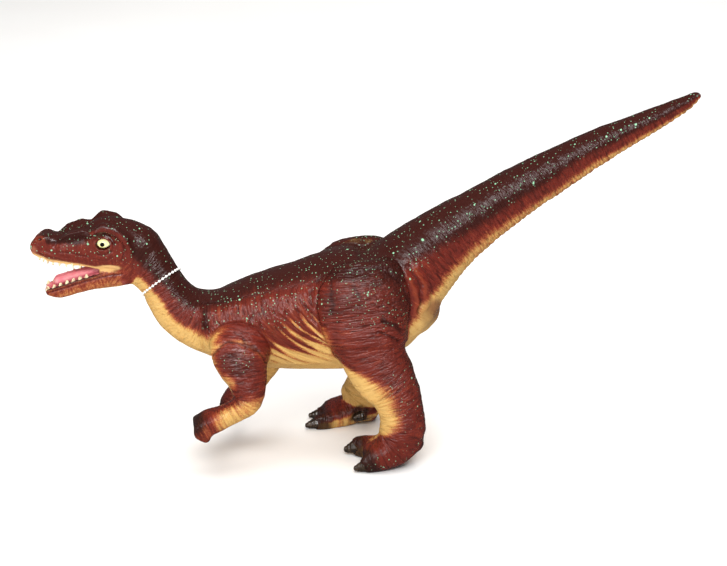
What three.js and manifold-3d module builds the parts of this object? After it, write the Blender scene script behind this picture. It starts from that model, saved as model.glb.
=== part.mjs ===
// A soft vinyl toy dinosaur that walks with its mouth open and its tail held high.
// Millimetres. The snout points to -X, the toy's left side to -Y, and the feet stand on z = 0.

import * as THREE from "three";
import { mergeVertices } from "three/addons/utils/BufferGeometryUtils.js";
import Module from "manifold-3d";

const wasm = await Module();
wasm.setup();

// Driving sizes

const GAP = 0.3; // between pieces that meet
const STRIDE = 27.5; // how far the right foot is ahead of the left
const STRIDE_TOP = 150; // height of the hip, where the stride starts
const STRIDE_BEND = 1.9;
const SPLAY = 9.5; // how much farther out the right foot stands
const TOE_SPREAD = { left: 1, right: 0.7 };
const FOOT_MIDDLE = 37;
const HEEL_DROP = { left: 0, right: 9 }; // the right foot stands flat, the left one rolls off its heel
const FOOT_HEIGHT = { left: 1, right: 0.62 };

const SPINE_SIDES = 24;
const SPINE_STEPS = 2; // rings between two sections
const LIMB_SIDES = 16;
const TOE_SIDES = 8;
const CLAW_SIDES = 6;
const HEAD_SIDES = 20;

const HEAD_TURN = Math.tan(THREE.MathUtils.degToRad(8)); // the head looks a little to its right
const HEAD_ROOT = { x: -165, y: 6 };

const NECK_CUT = { at: [-166.5, 0, 161.5], normal: [-0.83, 0, 0.555] };
const CHEST_CUT = { at: [-130, 0, 113], normal: [0.86, 0, -0.51] };
const TAIL_CUTS = [
  { at: [60, 0, 168], normal: [0.75, 0, 0.66] },
  { at: [124, 0, 210], normal: [0.86, 0, 0.51] },
  { at: [192, 0, 247], normal: [0.9, 0, 0.44] },
];
const KNEE_CUT = { z: 84, lean: [-0.3, 0, -0.95] };
const ANKLE_CUT = { z: 34, lean: [0, 0, -1] };
const JAW_PART = [[-185.5, 155.5], [-183, 132], [-262, 110], [-262, 150]]; // side view of what the jaw keeps

const EYE = { along: -197, out: 14.2, height: 178.4, long: 5.6, high: 4.2, deep: 3.4 };
const TOOTH = { wide: 3, sunk: 1.6, sides: 6 };
const UPPER_TEETH = { first: -246, last: -214, count: 7, inset: 1.6, way: -1, high: 2.4 };
const LOWER_TEETH = { first: -240, last: -208, count: 7, inset: 2, way: 1, high: 3 };
const THREAD = { at: [-154.2, 3, 144], normal: [-0.541, 0.352, 0.763] };
const BEAD = { across: 2, pitch: 3.2, waist: 0.45, sides: 5 };

// Sections: x, y, z of the middle, half width, half height

const SPINE = [
  [-184, 9, 172, 14, 16],
  [-174, 7, 166, 15.5, 20.2],
  [-164, 5, 156.2, 15, 19.5],
  [-154.6, 3, 143, 14.5, 16.6],
  [-145.5, 1.5, 126.8, 17, 19.4],
  [-135.5, 0.5, 117, 20, 21.6],
  [-116.5, 0, 110, 26, 25.4],
  [-94.5, 0, 108.6, 31, 33.2],
  [-68, 0, 110.8, 35, 39],
  [-40, 0, 113.5, 37, 44],
  [-12, 0, 118, 40, 48],
  [16, 0, 126, 39, 43],
  [31, 0, 140, 34, 35],
  [44, 0, 153, 28.5, 31.8],
  [63.5, 0, 170, 23.5, 27],
  [87.5, 0, 187, 20, 22.7],
  [115, 0, 205, 17.5, 19.8],
  [151.5, 0, 226, 14.5, 16.1],
  [186, 0, 244.5, 11.5, 12.9],
  [222, 0, 261.5, 8, 8.8],
  [244, 0, 272.5, 5.6, 6.1],
  [254, 0, 279, 3.4, 3.6],
];

const VENT = { at: [35.5, 0, 114.5], size: [23, 20, 22.5] };

// The skull and the jaw are placed by x and z alone, and their y follows the turn of the head.
// The skull is deeper below its middle than above, and the mouth is cut into it.

const SKULL = [
  [-248.5, 168.5, 7, 7, 8],
  [-240, 171.5, 10, 11, 16],
  [-230, 169.5, 11.5, 11, 17],
  [-220, 170.8, 13, 13, 20],
  [-209, 171.5, 14.5, 15.2, 22],
  [-194, 171.5, 16.5, 20.5, 22],
  [-179, 169.5, 17, 23, 23],
  [-167, 168, 15.5, 18.5, 18.5],
  [-159, 164, 12, 12, 12],
];

const JAW = [
  [-240, 136.6, 8.5, 5.4],
  [-232, 137.6, 10.5, 8],
  [-220, 142, 12.5, 8.2],
  [-205, 147, 14, 9],
  [-190, 150.2, 15.5, 10.2],
  [-177, 153.5, 15, 10.4],
];

const CROWN = { at: [-192, 184.5], size: [19, 13.5, 10.5] };
const CHEEK = { at: [-182, 155], size: [11, 15, 13] };
const NOSTRIL_BUMP = { at: [-239.5, 177.5], out: 5.5, size: [6.5, 5, 5.5] };
const UPPER_LIP = [
  [-184, 155.2], [-200, 156.4], [-215, 158.6], [-229, 159.8], [-240, 161.2], [-248, 163.6], [-262, 169.5],
];
const LOWER_LIP = [[-262, 128], [-242, 138], [-232, 142], [-220, 147.2], [-201, 153.4]];
const MOUTH_WIDE = 60;
const PALATE = { from: [-240, 160.5], to: [-195, 156.5], wide: 7, deep: 3.4 };
const MOUTH_FLOOR = { from: [-236, 140.5], to: [-196, 155], wide: 8.6, deep: 5 };
const TONGUE = { from: [-233, 143.2], to: [-199, 154], wide: 6.2, thick: 3.8 };

const BROW = [
  [-208, 181.5, 13, 2.4],
  [-203, 186.5, 14.2, 3.6],
  [-197, 191.5, 15, 4.4],
  [-188, 189.5, 16, 4.2],
  [-180, 182, 16.6, 3.6],
  [-176.5, 173, 16.2, 2.6],
];
const NOSE_RIDGE = [
  [-232, 177.5, 8, 2.2],
  [-224, 182.3, 10, 3],
  [-213, 186.4, 11.5, 3.4],
  [-205, 184.5, 12.6, 2.4],
];

// Legs, down from the hip: x, y outwards, z, half width, half depth in front, half depth behind

const LEG = [
  [-4, 26, 159, 10, 24, 27],
  [-3, 27, 151, 15, 31, 31],
  [-2, 29, 137, 18, 37, 35],
  [-1, 31, 121, 19.5, 36, 35],
  [2, 34, 103, 19.5, 30, 26],
  [6, 36.5, 86, 18.5, 25, 24.5],
  [12, 38, 73, 17.5, 22.5, 25],
  [19.5, 39, 61, 16.5, 19, 21],
  [24.5, 39.5, 46, 15.5, 17, 18],
  [26, 40, 32, 15.5, 18, 18.5],
  [24, 40, 20, 14, 18, 16],
];

const FOOT = [
  [35, 40, 21, 10, 9.5], // the heel
  [24, 40, 17.5, 14.5, 14],
  [12, 39.5, 12.5, 18, 13.3],
  [3, 39, 10, 17.5, 10.8],
];

const TOES = {
  outer: [[12, 46.5, 10.5, 7.5, 11], [3, 48.5, 8, 7, 9], [-3, 49.4, 6.4, 5.6, 7]],
  inner: [[12, 30, 10.5, 8, 11.2], [0, 23, 9.2, 7.6, 10], [-7, 20, 8, 5.8, 8.4]],
  hallux: [[36, 30, 18.5, 6.6, 7], [30, 24, 16.5, 6.4, 7], [26.5, 21, 15.6, 5.4, 6]],
};

const CLAWS = {
  outer: [[0.5, 49.2, 6.4, 4.6, 5], [-5.5, 49.6, 5.2, 4, 4.4], [-11, 49.2, 3.4, 2, 2.2]],
  inner: [[-3, 21.4, 8.8, 5.4, 6], [-9.5, 19.8, 7.6, 4.9, 5.4], [-15.2, 18.6, 5.2, 2.4, 2.8]],
  hallux: [[28.5, 21.6, 16, 4.6, 5.2], [25, 19.8, 14.8, 4.2, 4.8], [21.5, 18.8, 13.2, 2.4, 2.8]],
};

// Arms, down from the shoulder: x, y outwards, z, half width, half depth in front, half depth behind

const ARMS = {
  left: [
    [-92, 22, 112, 11, 17, 17],
    [-94.5, 29, 102, 14.5, 25.5, 20],
    [-95.5, 35, 89, 15, 22.5, 19],
    [-93.5, 38.5, 75, 14, 14, 16],
    [-92.5, 40, 62, 13, 10.5, 12.8],
    [-100, 41, 54.5, 12.5, 8, 9],
    [-113, 42, 48, 12, 9, 8.5],
    [-123, 42, 43.5, 12.5, 10.5, 9],
    [-128.5, 42, 41, 11, 8.8, 8],
  ],
  right: [
    [-90, 22, 110, 11, 17, 17],
    [-89, 27, 98, 14.5, 19, 20],
    [-84, 29, 84, 14.5, 17, 22],
    [-80, 29, 68, 13.5, 14, 20],
    [-84, 28, 55, 12.5, 12, 15.5],
    [-90, 26, 44, 12, 10.5, 10.5],
    [-97, 25, 36.5, 12, 10, 9.5],
    [-102, 24, 30, 12, 10, 9],
    [-105, 24, 25.5, 10, 8.5, 8],
  ],
};
const ELBOW_AFTER = 4; // section at which the elbow is cut
const WRIST_AFTER = 7;
const FINGER = { reach: 7.5, thick: 4.6, spread: 8, curl: 4.5 };

// Colours of the painted vinyl

const PAINT = {
  brown: { color: 0x5a2018, roughness: 0.45, metalness: 0 },
  ochre: { color: 0xd9a85a, roughness: 0.5, metalness: 0 },
  claw: { color: 0x2b241c, roughness: 0.35, metalness: 0 },
  pink: { color: 0xd9808a, roughness: 0.45, metalness: 0 },
  eye: { color: 0xf2efb4, roughness: 0.3, metalness: 0 },
  thread: { color: 0xf4f4f2, roughness: 0.6, metalness: 0 },
};

// Skins over rounded sections

// Each section is { at, wide, front, back }: "front" lies on the side of "facing".
function skin(sections, { sides, steps, facing, square = 2.2, dome = [0.6, 0.6], grow = 0 }) {
  const middle = new THREE.CatmullRomCurve3(sections.map((s) => s.at), false, "catmullrom", 0.5);
  const sizes = sections.map((s) => new THREE.Vector3(s.wide, s.front, s.back));
  const size = new THREE.CatmullRomCurve3(sizes, false, "catmullrom", 0.5);
  const count = (sections.length - 1) * steps;
  const points = [];
  const ring = (centre, half, along) => {
    const up = facing.clone().addScaledVector(along, -facing.dot(along)).normalize();
    const side = along.clone().cross(up);
    for (let k = 0; k < sides; k += 1) {
      const turn = (2 * Math.PI * k) / sides;
      const c = Math.cos(turn);
      const s = Math.sin(turn);
      const across = Math.sign(c) * Math.abs(c) ** (2 / square) * half.x;
      const tall = Math.sign(s) * Math.abs(s) ** (2 / square) * (s > 0 ? half.y : half.z);
      points.push(centre.clone().addScaledVector(side, across).addScaledVector(up, tall));
    }
  };
  const domeAngles = [60, 30].map(THREE.MathUtils.degToRad);
  const at = (i) => {
    const t = i / count;
    const half = size.getPoint(t).addScalar(grow);
    return { centre: middle.getPoint(t), half, along: middle.getTangent(t) };
  };
  const end = (i, way, angles, factor) => {
    const { centre, half, along } = at(i);
    const deep = Math.min(half.x, half.y, half.z) * factor;
    for (const angle of angles) {
      const shifted = centre.clone().addScaledVector(along, way * deep * Math.sin(angle));
      ring(shifted, half.clone().multiplyScalar(Math.cos(angle)), along);
    }
    return centre.clone().addScaledVector(along, way * deep);
  };
  const first = end(0, -1, domeAngles, dome[0]);
  for (let i = 0; i <= count; i += 1) {
    const { centre, half, along } = at(i);
    ring(centre, half, along);
  }
  const last = end(count, 1, [...domeAngles].reverse(), dome[1]);
  return solid(closedTube(points, sides, first, last));
}

// A closed mesh over rings of points, with a pole at each end
function closedTube(points, sides, first, last) {
  const rings = points.length / sides;
  const all = [...points, first, last];
  const index = [];
  const pole = points.length;
  for (let k = 0; k < sides; k += 1) {
    const next = (k + 1) % sides;
    for (let i = 0; i < rings - 1; i += 1) {
      const a = i * sides + k;
      const b = i * sides + next;
      index.push(a, a + sides, b + sides, a, b + sides, b);
    }
    const end = (rings - 1) * sides;
    index.push(pole, k, next, pole + 1, end + next, end + k);
  }
  const geometry = new THREE.BufferGeometry().setFromPoints(all);
  geometry.setIndex(index);
  return geometry;
}

function solid(geometry) {
  geometry.deleteAttribute("normal");
  geometry.deleteAttribute("uv");
  const merged = mergeVertices(geometry, 1e-4);
  return new wasm.Manifold(new wasm.Mesh({
    numProp: 3,
    vertProperties: new Float32Array(merged.attributes.position.array),
    triVerts: new Uint32Array(merged.index.array),
  }));
}

const onFloor = (body) => body.trimByPlane([0, 0, 1], 0);

const join = (pieces) => pieces.reduce((whole, piece) => whole.add(piece));

const cut = (body, tools) => tools.reduce((rest, tool) => rest.subtract(tool), body);

function biggest(body) {
  const parts = body.decompose();
  return parts.sort((a, b) => b.volume() - a.volume())[0];
}

// The two sides of a thin plane cut: "ahead" is the side that the normal points to
function part({ at, normal }, body) {
  const way = new THREE.Vector3(...normal).normalize();
  const reach = way.dot(new THREE.Vector3(...at));
  return {
    ahead: body.trimByPlane(way.toArray(), reach + GAP / 2),
    behind: body.trimByPlane(way.clone().negate().toArray(), GAP / 2 - reach),
  };
}

const UP = new THREE.Vector3(0, 0, 1);
const FORWARD = new THREE.Vector3(-1, 0, 0);

const even = ([x, y, z, wide, high, low = high]) => (
  { at: new THREE.Vector3(x, y, z), wide, front: high, back: low }
);

function ball(at, size, grow = 0, sides = 16) {
  const geometry = new THREE.SphereGeometry(1, sides, sides * 0.6);
  geometry.scale(...size.map((s) => s + grow));
  geometry.translate(...at);
  return solid(geometry);
}

// Body

function spine() {
  const body = skin(SPINE.map(even), { sides: SPINE_SIDES, steps: SPINE_STEPS, facing: UP, dome: [0.6, 1] });
  return body.add(ball(VENT.at, VENT.size));
}

// Head

const headY = (x) => HEAD_ROOT.y + (HEAD_ROOT.x - x) * HEAD_TURN;

const onHead = ([x, z, ...half]) => even([x, headY(x), z, ...half]);

function ridge(path, side) {
  const sections = path.map(([x, z, out, thick]) => even([x, headY(x) + side * out, z, thick, thick]));
  return skin(sections, { sides: 8, steps: 1, facing: UP, square: 2 });
}

// A side view of x and z, carried straight through the head from side to side
function sideCut(outline) {
  const shape = new THREE.Shape(outline.map(([x, z]) => new THREE.Vector2(x, z)));
  const geometry = new THREE.ExtrudeGeometry(shape, { depth: MOUTH_WIDE, bevelEnabled: false });
  geometry.rotateX(Math.PI / 2);
  geometry.translate(0, headY(-215) + MOUTH_WIDE / 2, 0);
  return solid(geometry);
}

function hollow({ from, to, wide, deep }) {
  const ends = [from, to].map(([x, z]) => onHead([x, z, wide, deep]));
  return skin(ends, { sides: 16, steps: 4, facing: UP, square: 2.4, dome: [0.8, 0.8] });
}

function tongue() {
  const { from, to, wide, thick } = TONGUE;
  const ends = [from, to].map(([x, z]) => onHead([x, z, wide, thick]));
  return skin(ends, { sides: 12, steps: 4, facing: UP, square: 2.2, dome: [0.9, 0.9] });
}

// A row of teeth on each side of a lip, rooted in it and pointing "way" (1 up, -1 down)
function teeth(lip, { first, last, count, inset, way, high }) {
  const cones = [];
  for (let k = 0; k < count; k += 1) {
    const x = first + ((last - first) * k) / (count - 1);
    for (const side of [-1, 1]) {
      const tooth = new THREE.ConeGeometry(TOOTH.wide / 2, high + TOOTH.sunk, TOOTH.sides);
      tooth.rotateX((way * Math.PI) / 2);
      const y = headY(x) + side * (lip.halfWidth(x) - inset);
      tooth.translate(x, y, lip.height(x) + (way * (high - TOOTH.sunk)) / 2);
      cones.push(solid(tooth));
    }
  }
  return cones;
}

// Straight interpolation in a list of [x, value] rows sorted by x
function between(rows, x) {
  const sorted = [...rows].sort((a, b) => a[0] - b[0]);
  const next = sorted.findIndex((row) => row[0] >= x);
  if (next <= 0) return sorted[Math.max(next, 0)][1];
  const [x0, v0] = sorted[next - 1];
  const [x1, v1] = sorted[next];
  return v0 + ((v1 - v0) * (x - x0)) / (x1 - x0);
}

const upperLip = {
  height: (x) => between(UPPER_LIP, x),
  halfWidth: (x) => between(SKULL.map(([at, , wide]) => [at, wide]), x),
};
const lowerLip = {
  height: (x) => between(LOWER_LIP.slice(1), x),
  halfWidth: (x) => between(JAW.map(([at, , wide]) => [at, wide]), x),
};

function eye(side, grow = 0) {
  const y = headY(EYE.along) + side * EYE.out;
  return ball([EYE.along, y, EYE.height], [EYE.long, EYE.deep, EYE.high], grow, 12);
}

function head() {
  const bones = [skin(SKULL.map(onHead), { sides: HEAD_SIDES, steps: 2, facing: UP, square: 2.3 })];
  bones.push(skin(JAW.map(onHead), { sides: HEAD_SIDES, steps: 2, facing: UP, square: 2.6 }));
  for (const { at: [x, z], size } of [CHEEK, CROWN]) {
    bones.push(ball([x, headY(x), z], size, 0, 12));
  }
  for (const side of [-1, 1]) {
    bones.push(ridge(BROW, side), ridge(NOSE_RIDGE, side));
    const [x, z] = NOSTRIL_BUMP.at;
    bones.push(ball([x, headY(x) + side * NOSTRIL_BUMP.out, z], NOSTRIL_BUMP.size, 0, 10));
  }
  return join(bones);
}

// Limbs

// The right side is the left one mirrored, with its foot a stride ahead and farther out.
function placed(side, [x, out, z]) {
  const swing = side > 0 ? Math.max(0, (STRIDE_TOP - z) / STRIDE_TOP) ** STRIDE_BEND : 0;
  return new THREE.Vector3(x - STRIDE * swing, side * (out + SPLAY * swing), z);
}

const legSection = (side) => ([x, out, z, wide, front, back = front]) => (
  { at: placed(side, [x, out, z]), wide, front, back }
);

const footSection = (side, height) => ([x, out, z, wide, high]) => (
  legSection(side)([x, out, z * height, wide, (high * (1 + height)) / 2])
);

const legSkin = (side, grow = 0) => skin(
  LEG.map(legSection(side)),
  { sides: LIMB_SIDES, steps: 2, facing: FORWARD, grow },
);

const toeSection = (side, height) => ([x, out, ...rest]) => {
  const spread = side > 0 ? TOE_SPREAD.right : TOE_SPREAD.left;
  return footSection(side, height)([x, FOOT_MIDDLE + (out - FOOT_MIDDLE) * spread, ...rest]);
};

const digit = (side, height, path, sides, grow = 0) => skin(
  path.map(toeSection(side, height)),
  { sides, steps: 1, facing: UP, square: 2, grow, dome: [0.5, 0.9] },
);

function leg(side, height, heelDrop) {
  const [[x, out, z, wide, high], ...front] = FOOT;
  const heel = [x, out, z - heelDrop, wide, high + heelDrop / 4];
  const rounded = { sides: LIMB_SIDES, steps: 2, facing: UP, dome: [0.8, 0.7] };
  const sole = skin([heel, ...front].map(footSection(side, height)), rounded);
  const toes = Object.values(TOES).map((path) => digit(side, height, path, TOE_SIDES));
  const claws = Object.values(CLAWS).map((path) => digit(side, height, path, CLAW_SIDES, GAP));
  return cut(onFloor(join([legSkin(side), sole, ...toes])), claws);
}

const armSection = (side) => ([x, out, z, wide, front, back]) => (
  { at: new THREE.Vector3(x, side * out, z), wide, front, back }
);

const armSkin = (side, rows, grow = 0) => skin(
  rows.map(armSection(side)),
  { sides: LIMB_SIDES - 2, steps: 2, facing: FORWARD, grow, dome: [0.5, 0.7] },
);

function fingers(side, rows) {
  const [x, out, z] = rows[rows.length - 1];
  const list = [];
  for (const k of [-1, 0, 1]) {
    const y = side * (out + k * FINGER.spread);
    const path = [
      [x + 3, y, z + 5],
      [x - 3, y, z + 2],
      [x - 2, y, z + 2 - FINGER.curl],
      [x + 3, y, z + 2 - FINGER.reach],
    ];
    const sections = path.map(([a, b, c]) => even([a, b, c, FINGER.thick, FINGER.thick]));
    list.push(skin(sections, { sides: 8, steps: 1, facing: FORWARD, square: 2, dome: [0.9, 0.9] }));
  }
  return list;
}

function arm(side, rows) {
  return join([armSkin(side, rows), ...fingers(side, rows)]);
}

function crossCut(rows, side, index) {
  const here = armSection(side)(rows[index]).at;
  const ahead = armSection(side)(rows[index + 1]).at;
  const before = armSection(side)(rows[index - 1]).at;
  return { at: here.toArray(), normal: ahead.clone().sub(before).toArray() };
}

// Tag thread

function threadLoop(neckSkin) {
  const mesh = new THREE.Mesh(geometryOf(neckSkin), new THREE.MeshBasicMaterial({ side: THREE.DoubleSide }));
  const caster = new THREE.Raycaster();
  const centre = new THREE.Vector3(...THREAD.at);
  const normal = new THREE.Vector3(...THREAD.normal).normalize();
  const sideways = new THREE.Vector3(0, 1, 0).addScaledVector(normal, -normal.y).normalize();
  const upwards = normal.clone().cross(sideways);
  const steps = 48;
  const radius = BEAD.across / 2;
  const loop = [];
  for (let k = 0; k < steps; k += 1) {
    const turn = (2 * Math.PI * k) / steps;
    const way = sideways.clone().multiplyScalar(Math.cos(turn)).addScaledVector(upwards, Math.sin(turn));
    caster.set(centre, way);
    loop.push(centre.clone().addScaledVector(way, caster.intersectObject(mesh)[0].distance + radius + GAP));
  }
  const curve = new THREE.CatmullRomCurve3(loop, true);
  const beads = Math.round(curve.getLength() / BEAD.pitch);
  const rings = beads * 2;
  const points = [];
  for (let i = 0; i < rings; i += 1) {
    const t = i / rings;
    const centreHere = curve.getPointAt(t);
    const along = curve.getTangentAt(t);
    const fromMiddle = centreHere.clone().sub(centre);
    const out = fromMiddle.addScaledVector(along, -along.dot(fromMiddle)).normalize();
    const up = along.clone().cross(out);
    const reach = radius * (i % 2 ? 1 : BEAD.waist);
    for (let k = 0; k < BEAD.sides; k += 1) {
      const turn = (2 * Math.PI * k) / BEAD.sides;
      points.push(centreHere.clone()
        .addScaledVector(out, reach * Math.cos(turn)).addScaledVector(up, reach * Math.sin(turn)));
    }
  }
  const index = [];
  for (let i = 0; i < rings; i += 1) {
    for (let k = 0; k < BEAD.sides; k += 1) {
      const a = i * BEAD.sides + k;
      const b = i * BEAD.sides + ((k + 1) % BEAD.sides);
      const c = ((i + 1) % rings) * BEAD.sides + k;
      const d = ((i + 1) % rings) * BEAD.sides + ((k + 1) % BEAD.sides);
      index.push(a, b, d, a, d, c);
    }
  }
  const geometry = new THREE.BufferGeometry().setFromPoints(points);
  geometry.setIndex(index);
  return solid(geometry);
}

function geometryOf(body) {
  const { vertProperties, triVerts } = body.getMesh();
  const geometry = new THREE.BufferGeometry();
  geometry.setAttribute("position", new THREE.BufferAttribute(vertProperties, 3));
  geometry.setIndex(new THREE.BufferAttribute(triVerts, 1));
  return geometry;
}

// Assembly

const toy = new THREE.Group();

function addNode(name, body, paint) {
  const geometry = geometryOf(biggest(body));
  geometry.computeVertexNormals();
  const mesh = new THREE.Mesh(geometry, new THREE.MeshStandardMaterial(PAINT[paint]));
  mesh.name = name;
  toy.add(mesh);
}

const SIDES = { left: -1, right: 1 };
const trunk = spine();
const sockets = [];

for (const [name, side] of Object.entries(SIDES)) {
  const height = FOOT_HEIGHT[name];
  const knee = { at: [0, 0, KNEE_CUT.z], normal: KNEE_CUT.lean };
  const { ahead: below, behind: thigh } = part(knee, leg(side, height, HEEL_DROP[name]));
  const { ahead: foot, behind: shin } = part({ at: [0, 0, ANKLE_CUT.z], normal: ANKLE_CUT.lean }, below);
  addNode(`thigh_${name}`, thigh, "brown");
  addNode(`shin_${name}`, shin, "ochre");
  addNode(`foot_${name}`, foot, "brown");
  for (const [toe, path] of Object.entries(CLAWS)) {
    addNode(`claw_${toe}_${name}`, onFloor(digit(side, height, path, CLAW_SIDES)), "claw");
  }
  const rows = ARMS[name];
  const { ahead: fore, behind: upper } = part(crossCut(rows, side, ELBOW_AFTER), arm(side, rows));
  const { ahead: hand, behind: forearm } = part(crossCut(rows, side, WRIST_AFTER), fore);
  addNode(`upper_arm_${name}`, upper, "brown");
  addNode(`forearm_${name}`, forearm, "ochre");
  addNode(`hand_${name}`, hand, "brown");
  sockets.push(legSkin(side, GAP), armSkin(side, rows, GAP));
}

const { ahead: skullSide, behind: bodySide } = part(NECK_CUT, trunk.add(head()));
const { ahead: behindNeck, behind: neck } = part(CHEST_CUT, bodySide);
addNode("neck", neck, "brown");
addNode("tag_thread", threadLoop(neck), "thread");

const tailNames = ["tail_root", "tail_middle", "tail_end"];
let rest = cut(behindNeck, sockets);
TAIL_CUTS.forEach((plane, k) => {
  const { ahead, behind } = part(plane, rest);
  addNode(k === 0 ? "torso" : tailNames[k - 1], behind, "brown");
  rest = ahead;
});
addNode(tailNames[2], rest, "brown");

const open = cut(skullSide, [sideCut([...UPPER_LIP, ...LOWER_LIP]), eye(-1, GAP), eye(1, GAP)]);
const jaw = open.intersect(sideCut(JAW_PART));
const skull = cut(open, [sideCut(JAW_PART.map(([x, z]) => [x + GAP, z])), hollow(PALATE)]);
addNode("head", join([skull, ...teeth(upperLip, UPPER_TEETH)]), "brown");
addNode("lower_jaw", join([cut(jaw, [hollow(MOUTH_FLOOR)]), ...teeth(lowerLip, LOWER_TEETH)]), "brown");
addNode("tongue", tongue(), "pink");
addNode("eye_left", eye(-1), "eye");
addNode("eye_right", eye(1), "eye");

// The origin is on the floor, below the middle of the whole toy.
const middle = new THREE.Box3().setFromObject(toy).getCenter(new THREE.Vector3());
toy.position.set(-middle.x, -middle.y, 0);

export default toy;
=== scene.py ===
"""A soft vinyl toy dinosaur, cast in ochre, airbrushed red-brown and spattered with mint green."""
import math

import bmesh
import bpy
import numpy as np
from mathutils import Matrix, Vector, noise
from mathutils.bvhtree import BVHTree


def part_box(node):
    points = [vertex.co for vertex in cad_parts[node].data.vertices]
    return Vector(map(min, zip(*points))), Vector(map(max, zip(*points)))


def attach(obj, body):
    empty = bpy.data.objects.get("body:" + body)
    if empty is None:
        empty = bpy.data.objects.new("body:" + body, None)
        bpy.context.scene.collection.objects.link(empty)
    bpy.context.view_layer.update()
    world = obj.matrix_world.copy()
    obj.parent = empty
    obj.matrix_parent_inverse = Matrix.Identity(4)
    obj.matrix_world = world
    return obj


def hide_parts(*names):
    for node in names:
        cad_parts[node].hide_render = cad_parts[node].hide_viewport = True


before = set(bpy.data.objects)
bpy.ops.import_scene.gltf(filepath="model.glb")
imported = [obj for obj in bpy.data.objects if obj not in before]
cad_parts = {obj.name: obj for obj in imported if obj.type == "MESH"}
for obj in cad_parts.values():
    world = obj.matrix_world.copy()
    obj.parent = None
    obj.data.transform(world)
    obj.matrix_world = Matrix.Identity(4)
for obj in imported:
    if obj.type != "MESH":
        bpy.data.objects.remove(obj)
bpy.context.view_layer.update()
bpy.ops.object.select_all(action="DESELECT")

# Lengths are millimetres in a drawing frame whose tail lies on y = 0 with its tip at TAIL_TIP

MM = 0.001
TAIL_TIP = 257.4
tail_low, tail_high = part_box("tail_end")
DRAWING_SHIFT = np.array([tail_high[0] / MM - TAIL_TIP, (tail_low[1] + tail_high[1]) / 2 / MM, 0.0])

SKIN_VOXEL = 1.38
SKIN_TRIANGLES = 188000
SKIN_SWELL = 0.35  # closes the gaps between the parts
FACE_END = -160  # the skin is finer ahead of this x
FLOOR_GAP = 0.02
MERGE_WITHIN = 0.02
NOISE_GAIN = 1.6
AT_ONCE = 8000
SIDES = {"left": -1, "right": 1}

# The photograph's camera, with 0.77 mm for a pixel at the toy's middle

PHOTO_WIDE = 727
PHOTO_MIDDLE = np.array([363.5, 283.0])
MM_PER_PIXEL = 0.77
CAMERA_AWAY = 1600.0
CAMERA_TURN = math.radians(-6)
CAMERA_RISE = math.radians(21)
CAMERA_TARGET = np.array([0.0, 0.0, 137.1])
SENSOR_WIDE = 36.0

BACK = np.array([
    math.sin(CAMERA_TURN) * math.cos(CAMERA_RISE),
    -math.cos(CAMERA_TURN) * math.cos(CAMERA_RISE),
    math.sin(CAMERA_RISE),
])
RIGHT = np.array([math.cos(CAMERA_TURN), math.sin(CAMERA_TURN), 0.0])
UP = np.cross(BACK, RIGHT)

# Middle lines of the body, x, y and z

SPINE = [
    (-252, 18.2, 167), (-215, 13, 170), (-184, 9, 172), (-174, 7, 166), (-164, 5, 156.2), (-154.6, 3, 143),
    (-145.5, 1.5, 126.8), (-135.5, 0.5, 117.2), (-116.5, 0, 110.5), (-94.5, 0, 109), (-68, 0, 111),
    (-40, 0, 113.5), (-12, 0, 118), (16, 0, 126), (31, 0, 140), (44, 0, 153), (63.5, 0, 170), (87.5, 0, 187),
    (115, 0, 205), (151.5, 0, 226), (186, 0, 244.5), (222, 0, 261.5), (244, 0, 272.5), (258, 0, 281),
]
LEG = [
    (-4, 26, 159), (-2, 29, 137), (2, 34, 103), (6, 36.5, 86), (12, 38, 73), (19.5, 39, 61), (24.5, 39.5, 46),
    (26, 40, 32), (22, 40, 19), (12, 39.5, 12.5), (0, 39, 9), (-16, 37, 5),
]
ARMS = {
    "left": [
        (-92, 22, 112), (-95, 32, 96), (-93.5, 38.5, 75), (-92.5, 40, 62.5), (-100, 41, 54.5),
        (-113, 42, 48), (-123, 42, 43.5), (-134, 42, 38),
    ],
    "right": [
        (-90, 22, 110), (-87, 28, 92), (-80, 29, 68), (-84, 28, 55), (-90, 26, 44),
        (-97, 25, 34), (-102, 24, 26.5), (-109, 24, 16),
    ],
}
STRIDE = 27.5  # how far the right foot is ahead of the left one, and SPLAY farther out
SPLAY = 9.5
HIP_HEIGHT = 150
STRIDE_BEND = 1.9

# Heights of the lips, and half the mouth's width, by x

UPPER_LIP = [
    (-262, 169.5), (-248, 163.6), (-240, 161.2), (-229, 159.8), (-215, 158.6), (-200, 156.4), (-184, 155.2),
]
LOWER_LIP = [(-262, 128), (-242, 138), (-232, 142), (-220, 147.2), (-201, 153.4), (-184, 157)]
MOUTH_HALF_WIDTH = [(-250, 4.5), (-220, 9.5), (-190, 12.5)]

ARM_PARTS = ("upper_arm", "forearm", "hand")
LEG_PARTS = ("thigh", "shin", "foot")
CLAWS = [f"claw_{toe}_{side}" for toe in ("outer", "inner", "hallux") for side in SIDES]
FLESH = ["head", "lower_jaw", "neck", "torso", "tail_root", "tail_middle", "tail_end"]
for side in SIDES:
    FLESH += [f"{part}_{side}" for part in ARM_PARTS + LEG_PARTS]


# Helpers

def linear(hex_colour):
    """An sRGB hex colour as linear red, green, blue and alpha."""
    values = [int(hex_colour[i:i + 2], 16) / 255 for i in (1, 3, 5)]
    return [v / 12.92 if v <= 0.04045 else ((v + 0.055) / 1.055) ** 2.4 for v in values] + [1.0]


def to_row(points):
    """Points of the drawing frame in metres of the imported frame."""
    return (np.asarray(points, float) + DRAWING_SHIFT) * MM


def look_up(places, table):
    """The second column of a table, read at places in its first one."""
    return np.interp(places, *zip(*table))


def ease(low, high, values):
    """0 below low, 1 above high, and a smooth step between."""
    t = np.clip((values - low) / (high - low), 0, 1)
    return t * t * (3 - 2 * t)


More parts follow.
